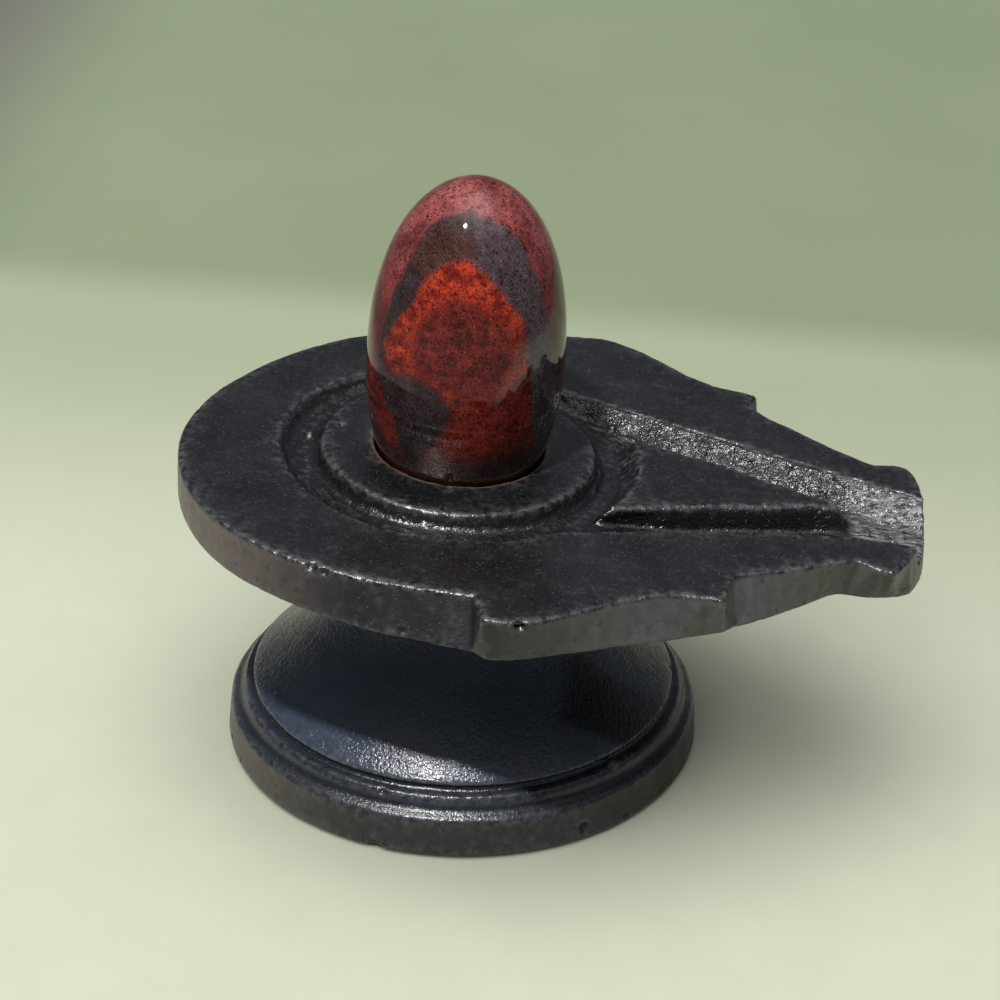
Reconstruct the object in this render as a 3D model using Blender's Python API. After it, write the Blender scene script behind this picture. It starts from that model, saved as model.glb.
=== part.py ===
"""A polished red stone lingam standing in a carved black stone yoni base.

Units are metres, +Z is up and +X runs along the spout. The origin is on the axis of the round pedestal,
at the level of the surface that the foot stands on.
"""
import math

import bmesh
import bpy
from mathutils import Matrix, Vector

MM = 0.001

# Turned pedestal: foot ring, bead, lip, bell and neck
FOOT_RADIUS = 48.0 * MM
FOOT_TOP_RADIUS = 47.5 * MM
FOOT_HEIGHT = 8.4 * MM
BEAD_RADIUS = 45.0 * MM
LIP_RADIUS = 42.9 * MM
LIP_HEIGHT = 14.1 * MM
NECK_RADIUS = 23.5 * MM
NECK_HEIGHT = 43.0 * MM
FLARE_RADIUS = 26.5 * MM
PEDESTAL_TOP = 57.3 * MM
PEDESTAL_SEGMENTS = 72
FOOT_PROFILE = [(FOOT_RADIUS - 1.2 * MM, 0.0), (FOOT_RADIUS, 1.2 * MM),
                (FOOT_TOP_RADIUS, FOOT_HEIGHT - 0.9 * MM), (FOOT_TOP_RADIUS - 0.25 * MM, FOOT_HEIGHT)]
SHOULDER_PROFILE = [(46.7 * MM, 8.95 * MM), (45.6 * MM, 9.5 * MM), (BEAD_RADIUS, 10.4 * MM),
                    (44.9 * MM, 11.3 * MM), (44.2 * MM, 12.25 * MM), (42.25 * MM, 12.6 * MM)]

# Plate: its top face runs through the pedestal axis at this height and falls towards the spout
PLATE_HEIGHT = 64.25 * MM
PLATE_FALL = math.radians(3.84)
PLATE_THICKNESS = 9.6 * MM
PLATE_CENTRE = (-2.5 * MM, -2.6 * MM)

# Round side of the plate as (angle in degrees, top radius, bottom radius) in mm: it is cut a little uneven
PLATE_ARC = [(77.5, 52.5, 52.7), (92.5, 52.5, 52.7), (107.5, 52.5, 52.6), (122.5, 52.3, 52.4),
             (137.5, 51.1, 51.6), (152.5, 50.7, 51.4), (167.5, 51.4, 52.0), (182.5, 52.6, 52.7),
             (197.5, 53.3, 53.0), (212.5, 53.7, 53.2), (227.5, 53.4, 53.3), (242.5, 52.3, 52.7),
             (257.5, 51.2, 52.7), (268.0, 50.9, 53.6)]

# Ring groove, the raised disc inside it and the socket, all round one centre of the plate
GROOVE_CENTRE = (-1.5 * MM, -0.2 * MM)
GROOVE_RADIUS = 35.2 * MM
GROOVE_DEPTH = 2.5 * MM
DISC_RADIUS = 27.0 * MM
DISC_RISE = 0.84 * MM
SOCKET_CENTRE = (-1.5 * MM, 0.8 * MM)
SOCKET_RADIUS = 17.4 * MM
SOCKET_FLOOR = -15.6 * MM
SOCKET_PROFILE = [(10.2 * MM, -13.2 * MM), (13.0 * MM, -10.0 * MM), (15.2 * MM, -5.6 * MM),
                  (16.5 * MM, -2.4 * MM), (SOCKET_RADIUS - 0.3 * MM, -0.6 * MM)]
CARVED_SEGMENTS = 64

# Lingam: an egg about a leaning axis, with a small flat spot below
STONE_RADIUS = 19.3 * MM
STONE_CENTRE = (-0.5 * MM, 1.0 * MM, 82.1 * MM)
STONE_ABOVE = 39.1 * MM
STONE_BELOW = 34.6 * MM
STONE_BLUNT_TOP = 2.45
STONE_BLUNT_FOOT = 1.83
STONE_LEAN = (0.0384, 0.0085)
STONE_FLAT = 32.5 * MM
STONE_SEGMENTS = 56
STONE_ROWS = 13

# Plate edge as (top x, top y, bottom x, bottom y) in mm; a corner ends each run
NEAR_STEP = [(1.0, -53.4, 1.0, -56.4), (5.7, -53.3, 6.0, -57.1), (10.2, -53.1, 11.4, -57.4)]
NEAR_WING = [(12.9, -60.6, 14.0, -59.5), (18.5, -60.3, 18.9, -58.2), (24.5, -57.5, 25.0, -55.2),
             (33.0, -50.5, 33.2, -50.6), (38.8, -45.8, 39.4, -46.9), (46.8, -42.1, 47.2, -42.7),
             (55.2, -41.7, 55.6, -37.8)]
NEAR_SHOULDER = [(55.8, -34.0, 57.6, -35.2), (57.0, -31.9, 59.6, -33.7), (62.8, -29.0, 63.5, -30.2),
                 (68.6, -25.7, 69.6, -24.0), (73.7, -22.4, 74.6, -18.7), (78.3, -20.0, 77.2, -17.8)]
NEAR_CORNER = [(81.8, -21.7, 81.8, -17.7), (85.5, -23.0, 87.0, -15.7)]
SPOUT_END = [(88.2, -17.0, 89.4, -13.8), (89.6, -10.8, 91.2, -7.8), (90.4, -2.0, 91.5, 0.0),
             (90.0, 6.0, 91.2, 6.0), (89.1, 12.9, 90.2, 11.0), (87.9, 17.3, 88.4, 14.6)]
FAR_CORNER = [(86.3, 19.8, 86.4, 16.0), (83.5, 20.2, 83.5, 16.9), (79.8, 19.1, 80.2, 17.0),
              (76.6, 20.5, 76.3, 17.4)]
FAR_SHOULDER = [(70.6, 24.0, 71.0, 21.5), (62.8, 29.3, 63.4, 29.4), (57.6, 32.5, 60.0, 32.0),
                (52.9, 36.9, 57.2, 35.6)]
FAR_WING = [(53.4, 38.7, 56.2, 38.2), (54.5, 40.6, 55.4, 40.0), (52.6, 42.2, 53.0, 41.6),
            (46.7, 42.9, 47.0, 42.4), (39.6, 46.0, 40.4, 45.6), (32.9, 51.2, 33.5, 49.6),
            (26.2, 55.3, 26.4, 53.8), (19.8, 57.4, 20.0, 56.2), (11.2, 55.9, 12.2, 55.0)]
FAR_STEP = [(9.6, 49.0, 10.4, 51.2)]
EDGE_RUNS = [NEAR_STEP, NEAR_WING, NEAR_SHOULDER, NEAR_CORNER, SPOUT_END, FAR_CORNER, FAR_SHOULDER,
             FAR_WING, FAR_STEP]

# Rounding of the plate's edge as (inset, height below the top face), and of its lower edge
TOP_ROUNDING = [(1.2 * MM, 0.0), (0.35 * MM, 0.2 * MM), (0.0, 0.7 * MM)]
LOWER_ROUNDING = [(0.0, 0.4 * MM), (0.4 * MM, 0.0)]

# Island between the channels as (top x, top y, foot x, foot y) in mm: its round end, then its tip
ISLAND_ARC = [(31.4, 14.3, 27.2, 16.4), (33.2, 7.2, 28.2, 7.6), (33.7, 0.0, 28.6, 0.0),
              (32.7, -7.4, 27.6, -7.8), (30.2, -14.5, 25.6, -16.8)]
ISLAND_NEAR = [(41.0, -10.9, 41.4, -13.4), (52.2, -7.2, 52.8, -9.7), (63.2, -3.6, 64.0, -6.2)]
ISLAND_TIP = [(73.0, -0.5, 75.9, -2.8), (74.1, 0.3, 77.4, 0.1), (73.0, 1.0, 75.6, 2.4)]
ISLAND_FAR = [(61.0, 5.3, 61.8, 7.6), (46.7, 10.7, 47.4, 13.0)]
ISLAND_FOOT = 5.6 * MM
ISLAND_ROUNDING = 0.6 * MM

# Channel stations in mm: place along the spout, far edge, near edge, depth of the floor
CHANNEL_STATIONS = [(14.0, 31.2, -29.4, 2.6), (20.0, 29.4, -26.8, 2.7), (30.0, 26.2, -23.4, 3.5),
                    (45.0, 21.4, -18.6, 4.3), (60.0, 16.9, -14.8, 4.5), (74.0, 12.7, -11.9, 4.6),
                    (84.0, 9.7, -11.0, 4.7), (97.0, 6.0, -12.0, 4.9)]
CHANNEL_CLEAR = 3.0 * MM
FAR_WALL_RUN = 1.3
NEAR_WALL_RUN = 0.25


def clear_scene():
    """Remove every object that the open file holds."""
    for item in list(bpy.data.objects):
        bpy.data.objects.remove(item, do_unlink=True)


def material(name, colour, roughness):
    """A plain finish for one piece."""
    made = bpy.data.materials.new(name)
    made.use_nodes = True
    shader = made.node_tree.nodes["Principled BSDF"]
    shader.inputs["Base Color"].default_value = (*colour, 1.0)
    shader.inputs["Roughness"].default_value = roughness
    shader.inputs["Metallic"].default_value = 0.0
    return made


def loft(name, rings):
    """A closed solid through rings of equal length, capped at both ends."""
    mesh = bpy.data.meshes.new(name)
    bm = bmesh.new()
    rows = [[bm.verts.new(point) for point in ring] for ring in rings]
    count = len(rows[0])
    for low, high in zip(rows, rows[1:]):
        for i in range(count):
            j = (i + 1) % count
            bm.faces.new((low[i], low[j], high[j], high[i]))
    bm.faces.new(rows[0])
    bm.faces.new(rows[-1])
    bmesh.ops.recalc_face_normals(bm, faces=bm.faces)
    bm.to_mesh(mesh)
    bm.free()
    made = bpy.data.objects.new(name, mesh)
    bpy.context.collection.objects.link(made)
    return made


def turned(name, profile, centre=(0.0, 0.0), segments=CARVED_SEGMENTS):
    """A solid of revolution about a vertical axis, from (radius, height) pairs."""
    rings = []
    for radius, height in profile:
        ring = []
        for i in range(segments):
            angle = 2.0 * math.pi * i / segments
            ring.append((centre[0] + radius * math.cos(angle), centre[1] + radius * math.sin(angle), height))
        rings.append(ring)
    return loft(name, rings)


def combine(target, other, operation):
    """Add or cut another solid, which then only serves as a guide."""
    step = target.modifiers.new(other.name, "BOOLEAN")
    step.object = other
    step.operation = operation
    step.solver = "EXACT"
    other.hide_render = True
    other.display_type = "WIRE"


def smooth_run(keys, steps):
    """Points on a Catmull-Rom curve through the keys of one run, its last key included."""
    points = []
    for i in range(len(keys) - 1):
        before = keys[max(i - 1, 0)]
        after = keys[min(i + 2, len(keys) - 1)]
        for s in range(steps):
            t = s / steps
            points.append(tuple(
                0.5 * (2 * b + (c - a) * t + (2 * a - 5 * b + 4 * c - d) * t ** 2
                       + (3 * b - a - 3 * c + d) * t ** 3)
                for a, b, c, d in zip(before, keys[i], keys[i + 1], after)))
    points.append(tuple(keys[-1]))
    return points


def plate_edge():
    """The plate's edge, counter-clockwise, as pairs of a top point and a bottom point."""
    pairs = []
    centre = Vector(PLATE_CENTRE)
    for angle, top, bottom in smooth_run(PLATE_ARC, 3):
        across = Vector((math.cos(math.radians(angle)), math.sin(math.radians(angle)))) * MM
        pairs.append((centre + top * across, centre + bottom * across))
    for run in EDGE_RUNS:
        for x, y, low_x, low_y in smooth_run(run, 2):
            pairs.append((Vector((x, y)) * MM, Vector((low_x, low_y)) * MM))
    return pairs


def inset(points, distance):
    """Points of a counter-clockwise outline moved inwards by a distance."""
    moved = []
    count = len(points)
    for i, point in enumerate(points):
        along = (points[(i + 1) % count] - points[i - 1]).normalized()
        moved.append(point + distance * Vector((-along.y, along.x)))
    return moved


def plate_body():
    """The flat body of the plate: round at the back, stepped wings and a spout."""
    pairs = plate_edge()
    top = [pair[0] for pair in pairs]
    bottom = [pair[1] for pair in pairs]
    rings = []
    for back, rise in reversed(LOWER_ROUNDING):
        rings.append([(p.x, p.y, rise - PLATE_THICKNESS) for p in inset(bottom, back)])
    for back, drop in reversed(TOP_ROUNDING):
        rings.append([(p.x, p.y, -drop) for p in inset(top, back)])
    return loft("guide_plate", rings)


def groove_pocket():
    """The round pocket that leaves the ring groove once the disc stands in it."""
    radius = GROOVE_RADIUS
    profile = [(radius - 3.4 * MM, -GROOVE_DEPTH), (radius - 1.6 * MM, -GROOVE_DEPTH + 0.5 * MM),
               (radius - 0.5 * MM, -0.5 * MM), (radius + 0.2 * MM, 0.1 * MM), (radius + 0.2 * MM, 4.0 * MM)]
    return turned("guide_groove", profile, GROOVE_CENTRE)


def channel_cutter():
    """The two channels and the spout's mouth as one wedge, which narrows towards the spout's end."""
    rings = []
    for x, far, near, depth in CHANNEL_STATIONS:
        drop = depth * MM
        far_edge = far * MM
        near_edge = near * MM
        far_foot = far_edge - FAR_WALL_RUN * drop
        near_foot = near_edge + NEAR_WALL_RUN * drop
        section = [(far_edge, CHANNEL_CLEAR), (far_edge, 0.0), (far_foot, -drop),
                   (near_foot, -drop), (near_edge, 0.0), (near_edge, CHANNEL_CLEAR)]
        rings.append([(x * MM, y, z) for y, z in section])
    return loft("guide_channels", rings)


def raised_disc():
    """The disc round the socket, a little higher than the plate, with a rounded rim."""
    profile = [(DISC_RADIUS + 1.4 * MM, -GROOVE_DEPTH - 1.6 * MM), (DISC_RADIUS + 1.4 * MM, -GROOVE_DEPTH),
               (DISC_RADIUS + 0.4 * MM, -GROOVE_DEPTH + 1.0 * MM), (DISC_RADIUS, DISC_RISE - 0.8 * MM),
               (DISC_RADIUS - 0.4 * MM, DISC_RISE - 0.2 * MM), (DISC_RADIUS - 1.3 * MM, DISC_RISE)]
    return turned("guide_disc", profile, GROOVE_CENTRE)


def island():
    """The pointed island between the channels, its top level with the plate."""
    runs = smooth_run(ISLAND_ARC, 2) + smooth_run(ISLAND_NEAR, 1) + ISLAND_TIP + ISLAND_FAR
    top = [Vector((x, y)) * MM for x, y, _, _ in runs]
    foot = [Vector((x, y)) * MM for _, _, x, y in runs]
    rings = [[(p.x, p.y, -ISLAND_FOOT) for p in foot],
             [(p.x, p.y, -ISLAND_ROUNDING) for p in top],
             [(p.x, p.y, 0.0) for p in inset(top, ISLAND_ROUNDING)]]
    return loft("guide_island", rings)


def socket_cutter():
    """The round socket, which follows the stone's lower end down to a floor under its flat spot."""
    profile = [(7.6 * MM, SOCKET_FLOOR)] + SOCKET_PROFILE
    profile += [(SOCKET_RADIUS + 0.2 * MM, DISC_RISE), (SOCKET_RADIUS + 1.6 * MM, DISC_RISE + 3.0 * MM)]
    return turned("guide_socket", profile, SOCKET_CENTRE)


def bell_curve(steps):
    """The bell from the lip up to the neck, as a Bezier curve of (radius, height)."""
    keys = [(LIP_RADIUS - 0.5 * MM, LIP_HEIGHT + 0.5 * MM), (33.0 * MM, 23.0 * MM),
            (24.0 * MM, 30.0 * MM), (NECK_RADIUS, NECK_HEIGHT)]
    points = []
    for step in range(steps + 1):
        t = step / steps
        weights = ((1 - t) ** 3, 3 * t * (1 - t) ** 2, 3 * t * t * (1 - t), t ** 3)
        points.append(tuple(sum(w * key[axis] for w, key in zip(weights, keys)) for axis in range(2)))
    return points


def pedestal():
    """The turned pedestal: foot ring, shoulder, bead, thin lip, bell, neck and flare under the plate."""
    profile = FOOT_PROFILE + SHOULDER_PROFILE
    profile += [(LIP_RADIUS - 0.6 * MM, LIP_HEIGHT - 0.7 * MM), (LIP_RADIUS, LIP_HEIGHT)]
    profile += bell_curve(9)
    profile += [(NECK_RADIUS + 0.5 * MM, 49.0 * MM), (FLARE_RADIUS, 53.5 * MM), (FLARE_RADIUS, PEDESTAL_TOP)]
    return turned("yoni_base", profile, segments=PEDESTAL_SEGMENTS)


def yoni_base():
    """Pedestal, plate, groove, channels, island, disc and socket as one carved block."""
    plate = plate_body()
    combine(plate, groove_pocket(), "DIFFERENCE")
    combine(plate, channel_cutter(), "DIFFERENCE")
    combine(plate, raised_disc(), "UNION")
    combine(plate, island(), "UNION")
    socket = socket_cutter()
    base = pedestal()
    combine(base, plate, "UNION")
    combine(base, socket, "DIFFERENCE")
    tilt = Matrix.Translation((0.0, 0.0, PLATE_HEIGHT)) @ Matrix.Rotation(PLATE_FALL, 4, "Y")
    for item in bpy.data.objects:
        if item.name.startswith("guide_"):
            item.matrix_world = tilt
    base.data.materials.append(material("black_carved_stone", (0.018, 0.02, 0.022), 0.38))
    return base


def stone_radius(height):
    """The stone's radius at a height above or below its widest level."""
    if height > 0.0:
        share, power = height / STONE_ABOVE, STONE_BLUNT_TOP
    else:
        share, power = -height / STONE_BELOW, STONE_BLUNT_FOOT
    return STONE_RADIUS * math.sqrt(max(0.0, 1.0 - share ** power))


def lingam_stone():
    """The egg-shaped polished stone, cut a little flat where it sits in the socket."""
    heights = [-STONE_FLAT * math.cos(0.5 * math.pi * row / STONE_ROWS) for row in range(STONE_ROWS)]
    heights += [STONE_ABOVE * math.sin(0.5 * math.pi * row / STONE_ROWS) for row in range(STONE_ROWS)]
    rings = []
    for height in heights:
        radius = stone_radius(height)
        ring = []
        for i in range(STONE_SEGMENTS):
            angle = 2.0 * math.pi * i / STONE_SEGMENTS
            ring.append((STONE_CENTRE[0] + STONE_LEAN[0] * height + radius * math.cos(angle),
                         STONE_CENTRE[1] + STONE_LEAN[1] * height + radius * math.sin(angle),
                         STONE_CENTRE[2] + height))
        rings.append(ring)
    stone = loft("lingam_stone", rings)
    stone.data.materials.append(material("red_jasper", (0.22, 0.03, 0.02), 0.08))
    return stone


def shade(item, sharp_angle):
    """Smooth shading with edges kept sharp past an angle."""
    item.data.shade_smooth()
    item.data.set_sharp_from_angle(angle=math.radians(sharp_angle))


clear_scene()
shade(yoni_base(), 30.0)
shade(lingam_stone(), 40.0)
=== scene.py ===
"""Looks of the red stone lingam and its carved black stone base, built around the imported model.

The scene's unit is the metre, +Z is up and +X runs along the spout. The origin is on the axis of the round
pedestal, at the level of the surface that the foot stands on. The sizes of the part and all work on its
points are in mm. Places are points in the plate's own frame: along the spout, across, above the top face.
"""

import math

import bmesh
import bpy
import numpy as np
from mathutils import Matrix, Vector


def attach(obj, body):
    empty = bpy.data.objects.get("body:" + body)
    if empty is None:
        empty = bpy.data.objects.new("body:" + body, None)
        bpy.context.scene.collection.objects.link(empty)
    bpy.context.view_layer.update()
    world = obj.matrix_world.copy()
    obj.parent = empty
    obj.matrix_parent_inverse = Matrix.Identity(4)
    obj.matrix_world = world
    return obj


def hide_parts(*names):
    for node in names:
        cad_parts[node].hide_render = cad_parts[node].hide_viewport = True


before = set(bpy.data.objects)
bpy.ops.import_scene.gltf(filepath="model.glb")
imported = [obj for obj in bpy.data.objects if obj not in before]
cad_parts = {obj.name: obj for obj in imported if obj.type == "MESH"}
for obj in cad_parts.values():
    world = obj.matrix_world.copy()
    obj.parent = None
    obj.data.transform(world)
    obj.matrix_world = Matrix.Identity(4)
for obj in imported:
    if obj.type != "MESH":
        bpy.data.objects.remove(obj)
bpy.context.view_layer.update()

MM = 0.001

# Camera, found from the circles of the foot and the plate
CAMERA_PLACE = (81.1 * MM, -512.0 * MM, 345.0 * MM)
CAMERA_TURN = math.radians(8.24)
CAMERA_PITCH = math.radians(29.39)
CAMERA_ROLL = math.radians(1.15)
CAMERA_LENS = 108.0
SENSOR_WIDTH = 36.0

# Round pedestal, as in the solids
FOOT_HEIGHT = 8.4
FOOT_WALL_RADIUS = 46.0
LIP_RADIUS = 42.9
LIP_HEIGHT = 14.1
NECK_RADIUS = 23.5
NECK_HEIGHT = 43.0
BELL_PULLS = [(33.0, 23.0), (24.0, 30.0)]
PEDESTAL_SEGMENTS = 72

# Plate, as in the solids: its height at the origin, its fall towards the spout, and its round side with
# the angles in degrees between which it runs and of one of its facets
PLATE_HEIGHT = 64.25
PLATE_FALL = math.radians(3.84)
PLATE_THICKNESS = 9.6
PLATE_CENTRE = (-2.5, -2.6)
RIM_START = 77.5
RIM_END = 257.5
RIM_STEP = 5.0

# Ring groove, disc and socket in the plate, in its own frame
CARVED_SEGMENTS = 64
GROOVE_CENTRE = (-1.5, -0.2)
GROOVE_RADIUS = 35.2
GROOVE_INNER = 27.5
SOCKET_CENTRE = (-1.5, 0.8)
SOCKET_RADIUS = 17.4
SOCKET_CLOSING = 0.65

# Channels: half-widths at their start, and how much they narrow for each mm towards the spout
CHANNEL_MIDDLE = 1.0
CHANNEL_START = 14.0
CHANNEL_SPREAD = 31.5
CHANNEL_TAPER = 0.285
FAR_SPREAD = 31.2
FAR_TAPER = 0.307
NEAR_SPREAD = 29.4
NEAR_TAPER = 0.28
NEAR_FLOW = 0.27
ISLAND_TIP = 76.0
SPOUT_END = 86.0

# Stone, as in the solids: half its width, its heights above and below the widest level, and its lean
STONE_RADIUS = 19.3
STONE_CENTRE = (-0.5, 1.0, 82.1)
STONE_ABOVE = 39.1
STONE_BELOW = 34.6
STONE_FLAT = 32.5
STONE_BLUNT_TOP = 2.45
STONE_BLUNT_FOOT = 1.83
STONE_LEAN = (0.0384, 0.0085)

# Density of the meshes
BASE_VOXEL = 0.45
BASE_TRIANGLES = 195000
STONE_ROWS = 300
STONE_SEGMENTS = 300

# Drops of varnish on the base, as (point, radius, height)
DROPS = [((-31.4, 0.6, 63.6), 1.1, 1.0),
         ((26.3, 22.8, 59.0), 1.2, 1.1),
         ((34.1, -27.3, 12.3), 1.2, 0.7)]

# Pits and chips, as (point, radius, depth): in the disc and groove, the plate's edge, the lip and the foot
PITS = [((-25.1, 1.3, 66.8), 0.9, 0.7),
        ((-30.2, -16.2, 64.1), 0.8, 0.5),
        ((-0.6, -17.3, 65.1), 0.9, 0.5),
        ((-20.2, -50.9, 65.2), 1.5, 0.7),
        ((-17.6, -51.9, 64.7), 1.2, 0.6),
        ((19.8, -60.1, 61.9), 1.5, 1.7),
        ((-2.3, -54.9, 56.0), 1.7, 0.8),
        ((-41.8, -37.6, 58.6), 1.3, 0.6),
        ((-43.1, -35.3, 62.3), 0.7, 0.5),
        ((-8.6, -43.9, 12.0), 0.9, 0.7),
        ((42.3, 6.4, 14.2), 1.1, 0.8),
        ((-44.7, -17.1, 2.6), 0.8, 0.7),
        ((30.1, -37.1, 3.3), 1.5, 0.6),
        ((37.5, -29.8, 2.0), 1.2, 0.5),
        ((-9.6, -47.0, 1.0), 2.2, 0.6)]

# Zones of the stone as (degrees from the side that faces the camera, height above its widest level)
STONE_FACE = 9.0
GREY_BAND = [(-63, 3), (-60, 12.6), (-55, 21.6), (-51, 28.5), (-47, 32.6), (-38, 34.8), (-10, 35.8),
             (14, 35.2), (34, 33.4), (41, 31.1), (46, 26.4), (51, 22.3), (53, 18), (56, 10), (66, 3),
             (74, -5), (73, -10), (56, -12.5), (44, -5), (40, 2.5), (37, 9.9), (35, 13.7), (34, 16.8),
             (29, 19.8), (20, 23.5), (10, 26.9), (-4, 29.6), (-21, 28.9), (-31, 26), (-37, 21.5),
             (-41, 18.6), (-51, 14.6), (-57, 9.5), (-54, 5), (-46, 5), (-28, 5.4), (-16, 3.6),
             (-10, 1.4), (-8, -1.4), (-14, -5.6), (-21, -9.3), (-30, -13), (-35, -14.8), (-39, -12),
             (-43, -8.2), (-46, -4), (-53, 0)]
EMBER_ARCH = [(-56, 8.5), (-56, 11.8), (-48, 16), (-38, 19), (-35, 22.5), (-29, 26.1), (-21, 28.6),
              (-7, 29.2), (5, 27.6), (17, 25.1), (28, 20.7), (35, 17.2), (35, 11.4), (36, 7.6),
              (22, 3.4), (4, 0.9), (-5, 0), (-12, 2.7), (-18, 4.5), (-28, 5.9), (-41, 5.1), (-49, 5.3)]
DARK_CORE = [(-34, 13), (-28, 18.5), (-10, 22), (10, 20), (24, 15.5), (28, 10), (20, 5.5), (4, 3.5),
             (-18, 6), (-30, 8)]
BROWN_APEX = [(-50, 27), (-47, 31), (-38, 33.2), (-5, 33.6), (4, 31), (2, 29.6), (-22, 28.4), (-34, 24)]

# Light of the room by the height of the direction, 0 at the horizon and 1 straight up
ROOM_STRENGTH = 1.75
ROOM_SHADES = [(0.0, (0.075, 0.085, 0.095)),
               (0.62, (0.07, 0.078, 0.09)),
               (0.85, (0.35, 0.355, 0.36)),
               (0.97, (1.0, 0.99, 0.97))]

# Lamps, in metres and watts: a small key that shines on the part and a wide panel that lights the floor
LAMP_AIM = (0.0, 0.0, 0.06)
KEY_DIRECTION = (-0.148, -0.437, 0.887)
KEY_DISTANCE = 1.0
KEY_SIZE = 0.05
KEY_POWER = 14.0
KEY_COLOUR = (1.0, 0.97, 0.95)
PANEL_DIRECTION = (-0.3, -0.5, 1.0)
PANEL_DISTANCE = 1.3
PANEL_SIZE = 2.2
PANEL_POWER = 20.0
PANEL_COLOUR = (1.0, 1.0, 0.97)
FLOOR_RADIUS = 3.0


def ramp(value, low, high):
    """0 below low, 1 above high and a smooth step between; low may be the higher of the two."""
    share = np.clip((value - low) / (high - low), 0.0, 1.0)
    return share * share * (3.0 - 2.0 * share)


def band(value, start, full, fade, end):
    """0 outside start and end, 1 between full and fade, with smooth steps."""
    return ramp(value, start, full) * ramp(value, end, fade)


def lattice_noise(points, seed):
    """Smooth noise from -1 to 1, with about one feature per unit."""
    cell = np.floor(points).astype(np.int64)
    part = points - cell
    part = part * part * (3.0 - 2.0 * part)
    total = np.zeros(len(points))
    for corner in range(8):
        offset = np.array([corner & 1, corner >> 1 & 1, corner >> 2 & 1])
        index = cell + offset
        mixed = index[:, 0] * 73856093 ^ index[:, 1] * 19349663 ^ index[:, 2] * 83492791 ^ seed * 2654435761
        mixed = (mixed ^ mixed >> 13) * 1274126177 & 0x7FFFFFFF
        mixed = mixed ^ mixed >> 15
        weight = np.prod(np.where(offset == 1, part, 1.0 - part), axis=1)
        total += weight * ((mixed & 0xFFFF) / 32767.5 - 1.0)
    return total


def stroke_noise(along, aside, length, width, seed):
    """Smooth noise of strokes so long and so wide."""
    return lattice_noise(np.stack([along / length, aside / width, np.zeros(len(along))], 1), seed)


def read_points(mesh):
    """The mesh's points in mm."""
    flat = np.empty(len(mesh.vertices) * 3, np.float32)
    mesh.vertices.foreach_get("co", flat)
    return flat.reshape(-1, 3).astype(float) / MM


def write_points(mesh, points):
    """Moves the mesh's points, given in mm."""
    mesh.vertices.foreach_set("co", (points * MM).astype(np.float32).ravel())
    mesh.update()


def read_normals(mesh):
    """The normal at each point."""
    flat = np.empty(len(mesh.vertices) * 3, np.float32)
    mesh.vertex_normals.foreach_get("vector", flat)
    return flat.reshape(-1, 3).astype(float)


class Neighbours:
    """Averages values over each point's neighbours along the mesh's edges."""

    def __init__(self, mesh):
        ends = np.empty(len(mesh.edges) * 2, np.int32)
        mesh.edges.foreach_get("vertices", ends)
        ends = ends.reshape(-1, 2)
        self.here = np.concatenate([ends[:, 0], ends[:, 1]])
        self.there = np.concatenate([ends[:, 1], ends[:, 0]])
        self.size = len(mesh.vertices)
        self.count = np.maximum(np.bincount(self.here, minlength=self.size), 1)

    def average(self, values, times=1):
        """The values after so many rounds of averaging."""
        values = values.reshape(self.size, -1)
        for _ in range(times):
            sums = [np.bincount(self.here, weights=column[self.there], minlength=self.size)
                    for column in values.T]
            values = 0.5 * values + 0.5 * np.stack(sums, axis=1) / self.count[:, None]
        return values.squeeze()


def store(mesh, name, values):
    """Keeps one number for each point of the mesh, for its material."""
    layer = mesh.attributes.get(name) or mesh.attributes.new(name, "FLOAT", "POINT")
    layer.data.foreach_set("value", values.astype(np.float32))


def apply_modifiers(item):
    """Gives the object the mesh that its modifiers make, and removes them."""
    graph = bpy.context.evaluated_depsgraph_get()
    mesh = bpy.data.meshes.new_from_object(item.evaluated_get(graph))
    item.modifiers.clear()
    item.data = mesh


def add_object(name, data):
    """A new object in the scene."""
    made = bpy.data.objects.new(name, data)
    bpy.context.collection.objects.link(made)
    return made


def plate_places(points):
    """Points as places in the plate's own frame."""
    rise = points[:, 2] - PLATE_HEIGHT
    fall = math.sin(PLATE_FALL)
    level = math.cos(PLATE_FALL)
    along = points[:, 0] * level - rise * fall
    above = points[:, 0] * fall + rise * level
    return np.stack([along, points[:, 1], above], 1)


def plate_points(places):
    """The reverse of plate_places."""
    fall = math.sin(PLATE_FALL)
    level = math.cos(PLATE_FALL)
    x = places[:, 0] * level + places[:, 2] * fall
    z = places[:, 2] * level - places[:, 0] * fall + PLATE_HEIGHT
    return np.stack([x, places[:, 1], z], 1)


def ring_distance(places, centre):
    """How far each place is from a centre, measured along the plate."""
    return np.hypot(places[:, 0] - centre[0], places[:, 1] - centre[1])


def bell_radii(heights):
    """The bell's radius at each height between its lip and its neck."""
    steps = np.linspace(0.0, 1.0, 200)
    keys = [(LIP_RADIUS - 0.5, LIP_HEIGHT + 0.5), *BELL_PULLS, (NECK_RADIUS, NECK_HEIGHT)]
    shares = [(1 - steps) ** 3, 3 * steps * (1 - steps) ** 2, 3 * steps ** 2 * (1 - steps), steps ** 3]
    radius = sum(share * key[0] for share, key in zip(shares, keys))
    height = sum(share * key[1] for share, key in zip(shares, keys))
    return np.interp(heights, height, radius)


def round_facets(points, centre, segments, where):
    """Swells a many-sided turned form out to its true circles, for the points chosen."""
    away = points[:, :2] - np.array(centre)
    step = 2.0 * math.pi / segments
    inside = np.arctan2(away[:, 1], away[:, 0]) % step - 0.5 * step
    factor = np.where(where, np.cos(inside) / math.cos(0.5 * step), 1.0)
    points[:, :2] = np.array(centre) + away * factor[:, None]


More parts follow.
